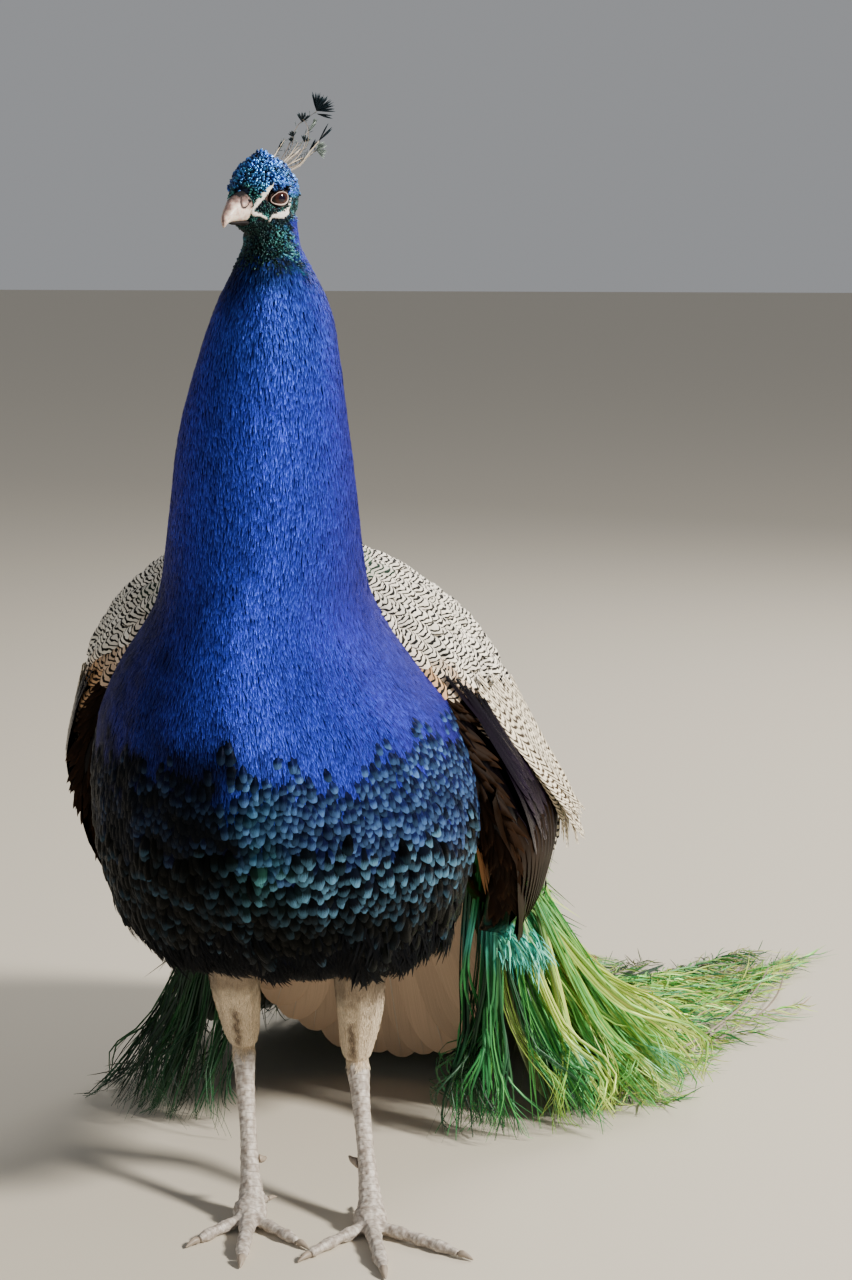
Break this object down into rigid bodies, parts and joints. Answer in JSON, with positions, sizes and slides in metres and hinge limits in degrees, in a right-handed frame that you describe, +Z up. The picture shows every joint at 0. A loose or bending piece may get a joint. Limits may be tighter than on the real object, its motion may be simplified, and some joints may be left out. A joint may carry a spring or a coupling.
{
  "type": "peacock",
  "caption": "Adult male Indian peafowl standing with its head turned a little to its right, wings folded and the worn train trailing over the floor behind it.",
  "frame": {"origin": "middle of the whole bird's box, on the floor it stands on", "axes": "+Z up, the bird's breast faces -Y and its left side is at +X; the train trails to +Y"},
  "size_m": [0.7314, 1.0448, 0.9385],
  "materials": {
    "barred_feather": "cream feathers with fine black wavy bars",
    "bill_horn": "pinkish ivory horn, grey-brown at the base",
    "black_feather": "loose black plumage with a dark green gloss",
    "blue_feather": "royal-blue plumage with a metallic sheen, green at the throat",
    "chestnut_feather": "chestnut-buff primary feathers",
    "claw_horn": "pale blunt horn",
    "eye": "wet dark brown",
    "flight_feather": "brown-black flight feathers",
    "green_feather": "golden-green scale feathers",
    "leg_skin": "grey-brown scaled skin",
    "tail_feather": "grey-brown quill feathers with pale shafts",
    "thigh_down": "short buff down",
    "train_feather": "long green and bronze barbs with blue eyespots",
    "wing_covert": "glossy blue-black covert feathers"
  },
  "bodies": {
    "root": {"back": "green_feather", "belly": "black_feather", "bill_lower": "bill_horn", "bill_upper": "bill_horn", "breast": "blue_feather", "claw_hind_left": "claw_horn", "claw_hind_right": "claw_horn", "claw_inner_left": "claw_horn", "claw_inner_right": "claw_horn", "claw_middle_left": "claw_horn", "claw_middle_right": "claw_horn", "claw_outer_left": "claw_horn", "claw_outer_right": "claw_horn", "crest": "blue_feather", "eye_left": "eye", "eye_right": "eye", "flight_feathers_left": "flight_feather", "flight_feathers_right": "flight_feather", "foot_left": "leg_skin", "foot_right": "leg_skin", "head": "blue_feather", "neck_lower": "blue_feather", "neck_upper": "blue_feather", "primaries_left": "chestnut_feather", "primaries_right": "chestnut_feather", "rump": "green_feather", "scapulars_left": "barred_feather", "scapulars_right": "barred_feather", "shank_left": "leg_skin", "shank_right": "leg_skin", "spur_left": "claw_horn", "spur_right": "claw_horn", "tail": "tail_feather", "thigh_left": "thigh_down", "thigh_right": "thigh_down", "train_left_drape": "train_feather", "train_left_tips": "train_feather", "train_middle_drape": "train_feather", "train_middle_tips": "train_feather", "train_right_drape": "train_feather", "train_right_tips": "train_feather", "train_side_drape": "train_feather", "train_side_tips": "train_feather", "wing_coverts_left": "wing_covert", "wing_coverts_right": "wing_covert"}
  },
  "joints": []
}
